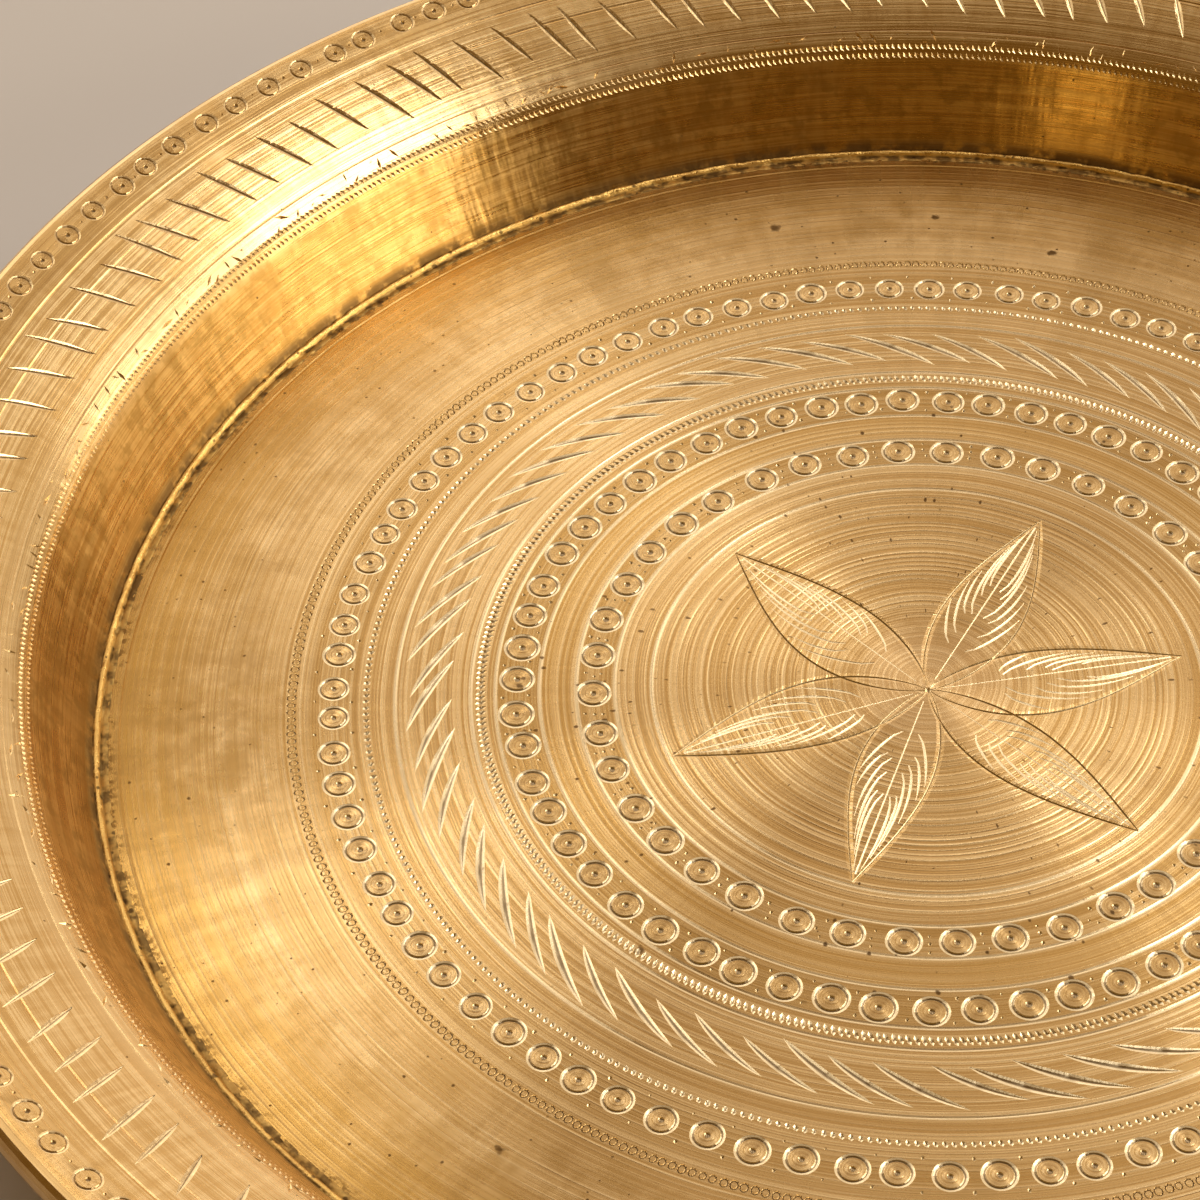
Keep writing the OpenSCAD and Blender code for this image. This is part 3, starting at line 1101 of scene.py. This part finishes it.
class ThaliSeamSettings(bpy.types.PropertyGroup):
    """Sizes and colours of the brazed bead and the wire."""

    lump_height: measure("Lump height", "How far the bead's lumps stand out", 0.19)
    pit_depth: measure("Pit depth", "Depth of the bead's pits", 0.22)
    light: paint("Filler", "Rubbed filler", (0.84, 0.54, 0.17))
    deep: paint("Dull filler", "Tarnished filler", (0.55, 0.30, 0.08))
    # Also laid low on the bead and behind it, partly as dirt and partly as painted shade in the creases
    grime: paint("Grime", "Dirt in the bead's crevices", (0.08, 0.04, 0.015))
    wire_light: paint("Wire", "Drawn wire", (0.46, 0.44, 0.42))
    wire_dark: paint("Dull wire", "Drawn wire in its lines", (0.28, 0.26, 0.25))


class ThaliStageSettings(bpy.types.PropertyGroup):
    """Colours and light of the stage."""

    floor_colour: paint("Floor", "Colour of the plain floor", (0.64, 0.59, 0.56))
    light_level: bpy.props.FloatProperty(
        name="Light", description="Strength of all the lamps together", default=1.0, min=0.0)


SETTINGS = {
    "thali_floor": ThaliFloorSettings,
    "thali_rim": ThaliRimSettings,
    "thali_seam": ThaliSeamSettings,
    "thali_stage": ThaliStageSettings,
}


# Operators

class THALI_OT_floor(bpy.types.Operator):
    """Turn the floor disc and engrave its rings, strokes and flower"""

    bl_idname = "thali.floor"
    bl_label = "Build floor disc"

    def execute(self, context):
        look = context.scene.thali_floor
        brass = floor_brass(look)
        outline = floor_outline(look.line_width, look.line_depth)
        piece = shown_object(turned_mesh("floor_plate", outline, FLOOR_SIDES))
        stamp = stamp_cutter("stamp", look.stamp_diameter, look.stamp_depth, sides=24)
        small_stamp = stamp_cutter("small_stamp", 0.93 * look.stamp_diameter, look.stamp_depth, sides=24)
        dot = pit_cutter("dot", length=0.62 * MM, width=0.5 * MM, depth=0.2 * MM)
        slot_mark = pit_cutter("slot_mark", length=1.7 * MM, width=0.7 * MM, depth=0.22 * MM, slant=20)
        fine_mark = pit_cutter("fine_mark", length=1.1 * MM, width=0.76 * MM, depth=0.2 * MM, slant=20)
        punch = pit_cutter("punch", length=1.1 * MM, width=1.1 * MM, depth=0.4 * MM, sides=10)
        rope_mark = ring_cutter("rope_mark", length=1.75 * MM, width=1.45 * MM, depth=0.27 * MM, sides=10)
        leaf = stroke_cutter(
            "leaf", length=15.2 * MM, width=1.25 * MM, depth=0.18 * MM, slant=63, fullest=0.45, bow=-0.7 * MM)
        edges = curve_object("edges", petal_outlines())
        veins = curve_object("veins", petal_veins())

        rows = (
            ("inner stamps", stamp, 40, 47.7 * MM, STAMPED),
            ("inner dots low", dot, 40, 46.6 * MM, DOTTED),
            ("inner dots mid", dot, 40, 47.9 * MM, DOTTED),
            ("inner dots high", dot, 40, 49.2 * MM, DOTTED),
            ("middle stamps", stamp, 57, 58.9 * MM, STAMPED),
            ("middle dots low", dot, 57, 57.0 * MM, DOTTED),
            ("middle dots high", dot, 57, 60.8 * MM, DOTTED),
            ("milled slots", slot_mark, 400, 64.0 * MM, {**MILLED, "turn": 8, "size": 0.08}),
            ("leaf strokes", leaf, 68, 71.0 * MM, {"angle": 0.12, "aside": 0.4 * MM, "turn": 3, "size": 0.1}),
            ("milled fine marks", fine_mark, 420, 80.4 * MM, {**MILLED, "turn": 8}),
            ("outer stamps", small_stamp, 85, 85.2 * MM, {**STAMPED, "size": 0.05}),
            ("outer dots low", dot, 85, 82.7 * MM, {**DOTTED, "aside": 0.25 * MM}),
            ("outer dots high", dot, 85, 87.7 * MM, {**DOTTED, "aside": 0.25 * MM}),
            ("milled rope", rope_mark, 410, 91.1 * MM,
             {**MILLED, "aside": 0.07 * MM, "turn": 10, "size": 0.08}),
            ("flower point", punch, 1, -FLOWER_CENTRE[1], {"start": 0.75}),
        )
        for seed, (label, tool, count, radius, stray) in enumerate(rows, 1):
            engrave(piece, brass, label, tool, count, (radius, FLOOR_TOP, 0.0), seed, **stray)
        for label, lines, width, depth, full_depth in (
            ("petal shoulders", edges, 2.3 * look.petal_width, 0.11 * MM, 1.6 * FULL_DEPTH),
            ("petal outlines", edges, look.petal_width, 0.22 * MM, FULL_DEPTH),
            ("petal veins", veins, look.vein_width, 0.07 * MM, 1.6 * FULL_DEPTH),
        ):
            add_tree(piece, "engraved_lines", label, {
                "Lines": lines, "Material": brass, "Width": width, "Depth": depth, "Level": FLOOR_TOP,
                "Full Depth": full_depth,
            })
        tools = (stamp, small_stamp, dot, slot_mark, fine_mark, punch, rope_mark, leaf, edges, veins)
        settle(piece, 8, tools)
        hand_over(piece, "floor_disc")
        return {"FINISHED"}


class THALI_OT_rim(bpy.types.Operator):
    """Bend the sheet of the wall and the rim and engrave its shoulder and its rim"""

    bl_idname = "thali.rim"
    bl_label = "Build wall and rim"

    def execute(self, context):
        look = context.scene.thali_rim
        brass = rim_brass(look)
        outline = sheet_outline(look.line_width, look.line_depth)
        piece = shown_object(turned_mesh("rim_sheet", outline, RIM_SIDES, closed=True))
        stamp = stamp_cutter("stamp", look.stamp_diameter, look.stamp_depth, sides=16)
        dot = pit_cutter("dot", length=0.5 * MM, width=0.5 * MM, depth=0.2 * MM)
        mark = pit_cutter("mark", length=1.3 * MM, width=0.66 * MM, depth=0.15 * MM, sides=4, slant=30)
        nick = pit_cutter("nick", length=2.0 * MM, width=0.44 * MM, depth=0.2 * MM, sides=4)
        stroke = stroke_cutter(
            "stroke", length=12.9 * MM, width=look.stroke_width, depth=0.18 * MM, slant=24, fullest=0.5,
            sag_radius=RIM[0], stations=11)
        stroked = {"angle": 0.16, "aside": 0.2 * MM, "turn": 4, "size": 0.08}
        nicked = {"angle": 0.5, "aside": 0.9 * MM, "turn": 180, "size": 0.5}
        stamped = {"angle": 0.08, "aside": 0.15 * MM, "turn": 180, "size": 0.05}
        stamps = look.stamp_count

        for label, tool, count, run, share, seed, stray in (
            ("lower milled row", mark, 850, "shoulder", 0.15, 21, MILLED),
            ("upper milled row", mark, 850, "shoulder", 0.60, 22, MILLED),
            ("nicks", nick, 260, "shoulder", 0.97, 26, nicked),
            ("strokes", stroke, look.stroke_count, "rim", 0.42, 23, stroked),
            ("stamps", stamp, stamps, "rim", 0.90, 24, stamped),
            ("dots", dot, stamps, "rim", 0.90, 25, {**DOTTED, "angle": 0.06}),
        ):
            engrave(piece, brass, label, tool, count, sheet_place(run, share), seed, **stray)
        settle(piece, 17, (stamp, dot, mark, nick, stroke))
        hand_over(piece, "wall_and_rim")
        return {"FINISHED"}


class THALI_OT_seam(bpy.types.Operator):
    """Lay the uneven brazed bead between the floor and the wall"""

    bl_idname = "thali.seam"
    bl_label = "Build seam bead"

    def execute(self, context):
        look = context.scene.thali_seam
        filler = braze_brass(look)
        outline = [(radius * MM, height * MM) for radius, height in BEAD_OUTLINE]
        piece = shown_object(turned_mesh("brazed_seam", outline, BEAD_SIDES, closed=True))
        add_tree(piece, "rough_bead", "rough bead", {
            "Material": filler, "Lump Height": look.lump_height, "Lump Length": LUMP_LENGTH,
            "Pit Depth": look.pit_depth, "Pit Spacing": PIT_SPACING, "Seed": 5,
        })
        settle(piece, 60)
        hand_over(piece, "seam_bead")
        return {"FINISHED"}


class THALI_OT_wire(bpy.types.Operator):
    """Give the wire inside the rolled edge its drawn finish"""

    bl_idname = "thali.wire"
    bl_label = "Finish rim wire"

    def execute(self, context):
        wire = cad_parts["rim_wire"]
        wire.data.materials.clear()
        wire.data.materials.append(drawn_wire(context.scene.thali_seam))
        return {"FINISHED"}


def hang_lamp(name, round_degrees, up_degrees, distance, size, radiance, tint, level):
    """Hangs a flat lamp that faces the plate."""
    data = bpy.data.lights.new(name, "AREA")
    data.shape = "RECTANGLE"
    data.size, data.size_y = size
    data.energy = radiance * math.pi * size[0] * size[1] * level
    data.color = tint
    lamp = shown_object(data)
    around, up = math.radians(round_degrees), math.radians(up_degrees)
    way = Vector((math.cos(up) * math.cos(around), math.cos(up) * math.sin(around), math.sin(up)))
    lamp.location = way * distance
    lamp.rotation_euler = way.to_track_quat("Z", "Y").to_euler()


def surroundings():
    """A soft light from the back that fades to the sides and the top, with a brighter band low down."""
    world = bpy.data.worlds.new("studio")
    world.use_nodes = True
    world.node_tree.nodes.clear()
    w = Wiring(world.node_tree)
    right, back, up = w.separate(w.node("ShaderNodeTexCoord").outputs["Generated"])
    lean = w.less(w.less(back, w.product(up, 0.28)), w.product(w.math("ABSOLUTE", right), 0.5))
    shade = w.mix_colour(w.ramp(lean, -0.05, 0.75), DARK_SIDE, BRIGHT_SIDE)
    left_back = w.less(w.product(back, math.cos(BAND_TURN)), w.product(right, math.sin(BAND_TURN)))
    low_band = w.product(w.ramp(up, 0.54, 0.36), w.ramp(up, 0.05, 0.15), w.ramp(left_back, 0.80, 0.96))
    shade = w.mix_colour(low_band, shade, LOW_BAND)
    glow = w.node("ShaderNodeBackground", {"Color": shade, "Strength": 1.0})
    w.node("ShaderNodeOutputWorld", {"Surface": glow.outputs[0]})
    return world


class THALI_OT_stage(bpy.types.Operator):
    """Set the floor, the lamps, the surroundings and the camera"""

    bl_idname = "thali.stage"
    bl_label = "Set stage"

    def execute(self, context):
        scene = context.scene
        look = scene.thali_stage
        scene.view_settings.view_transform = "Standard"

        mesh = bpy.data.meshes.new("stage_floor")
        bm = bmesh.new()
        bmesh.ops.create_grid(bm, x_segments=1, y_segments=1, size=STAGE_HALF)
        bm.to_mesh(mesh)
        bm.free()
        mesh.materials.append(stage_floor(look))
        ground = shown_object(mesh)
        ground.location = (0.0, 0.0, -STAGE_DROP)

        for lamp in LAMPS:
            hang_lamp(*lamp, look.light_level)
        scene.world = surroundings()

        data = bpy.data.cameras.new("camera")
        data.sensor_width = CAMERA_SENSOR
        data.lens = CAMERA_LENS
        data.clip_start = 10 * MM
        camera = shown_object(data)
        tilt = Matrix.Rotation(math.radians(90 - CAMERA_DIP), 4, "X")
        roll = Matrix.Rotation(math.radians(CAMERA_ROLL), 4, "Z")
        camera.matrix_world = Matrix.Translation(CAMERA_PLACE) @ tilt @ roll
        scene.camera = camera
        return {"FINISHED"}


class THALI_PT_panel(bpy.types.Panel):
    """The plate's pieces and their settings"""

    bl_idname = "THALI_PT_panel"
    bl_label = "Thali Plate"
    bl_space_type = "VIEW_3D"
    bl_region_type = "UI"
    bl_category = "Thali"

    def draw(self, context):
        rows = (
            ("thali_floor", (THALI_OT_floor,)),
            ("thali_rim", (THALI_OT_rim,)),
            ("thali_seam", (THALI_OT_seam, THALI_OT_wire)),
            ("thali_stage", (THALI_OT_stage,)),
        )
        for name, operators in rows:
            box = self.layout.box()
            group = getattr(context.scene, name)
            for key in group.bl_rna.properties.keys():
                if key not in {"rna_type", "name"}:
                    box.prop(group, key)
            for operator in operators:
                box.operator(operator.bl_idname)


CLASSES = (
    *SETTINGS.values(),
    THALI_OT_floor,
    THALI_OT_rim,
    THALI_OT_seam,
    THALI_OT_wire,
    THALI_OT_stage,
    THALI_PT_panel,
)


def register():
    for cls in CLASSES:
        bpy.utils.register_class(cls)
    for name, cls in SETTINGS.items():
        setattr(bpy.types.Scene, name, bpy.props.PointerProperty(type=cls))


def unregister():
    for name in SETTINGS:
        delattr(bpy.types.Scene, name)
    for cls in reversed(CLASSES):
        bpy.utils.unregister_class(cls)


def main():
    register()
    bpy.ops.thali.floor()
    bpy.ops.thali.rim()
    bpy.ops.thali.seam()
    bpy.ops.thali.wire()
    bpy.ops.thali.stage()


if __name__ == "__main__":
    main()
